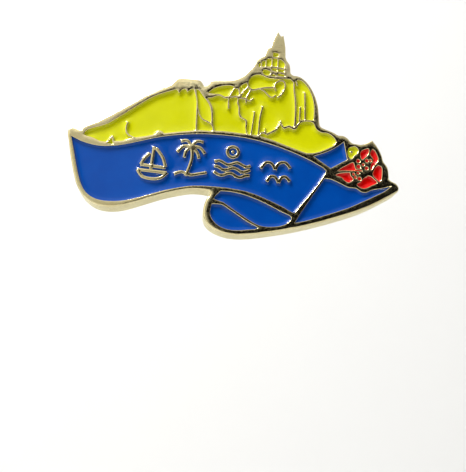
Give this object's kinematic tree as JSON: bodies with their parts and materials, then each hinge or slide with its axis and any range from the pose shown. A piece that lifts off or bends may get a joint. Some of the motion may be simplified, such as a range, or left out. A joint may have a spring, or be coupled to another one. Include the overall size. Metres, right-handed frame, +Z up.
{
  "type": "enamel pin",
  "caption": "Die-struck souvenir pin with raised gold lines, soft enamel fills, a nail post and a push-on rubber clutch behind.",
  "frame": {"origin": "on the plate's flat back face, in line with the middle of the drawing's own axes; the face is the plane y = 0", "axes": "+Z up the picture, +X to the right of someone looking at the enamel, +Y out of the back face along the post"},
  "size_m": [0.0309, 0.0056, 0.0209],
  "materials": {
    "gold_plate": "polished pale gold plating",
    "gold_post": "polished pale gold plating",
    "clutch_rubber": "soft satin PVC, slightly translucent",
    "enamel_yellow": "glossy soft enamel, sunk below the lines",
    "enamel_blue": "glossy soft enamel, sunk below the lines",
    "enamel_red": "glossy soft enamel, sunk below the lines"
  },
  "bodies": {
    "pin": {"base_plate": "gold_plate", "post": "gold_post", "hill_fill": "enamel_yellow", "hut_fill": "enamel_yellow", "ridge_top_fill": "enamel_yellow", "ridge_foot_fill": "enamel_yellow", "middle_fill": "enamel_yellow", "crescent_fill": "enamel_yellow", "step_fill": "enamel_yellow", "crag_fill": "enamel_yellow", "chip_fill": "enamel_yellow", "cliff_fill": "enamel_yellow", "rock_side_fill": "enamel_yellow", "ground_fill": "enamel_yellow", "tower_pane_fills": "enamel_yellow", "ribbon_fill": "enamel_blue", "ribbon_corner_fill": "enamel_blue", "fold_upper_fill": "enamel_blue", "fold_lower_fill": "enamel_blue", "ribbon_tail_fill": "enamel_blue", "petal_fill_1": "enamel_red", "petal_fill_2": "enamel_red", "petal_fill_3": "enamel_red", "petal_fill_4": "enamel_red", "petal_fill_5": "enamel_red", "petal_fill_6": "enamel_red", "stamen_fills": "enamel_red", "bud_fill": "enamel_yellow"},
    "clutch": {"clutch": "clutch_rubber"}
  },
  "joints": [
    {"name": "clutch_slide", "type": "slide", "parent": "pin", "child": "clutch", "axis": [0, 1, 0], "range_m": [0, 0.01]}
  ]
}
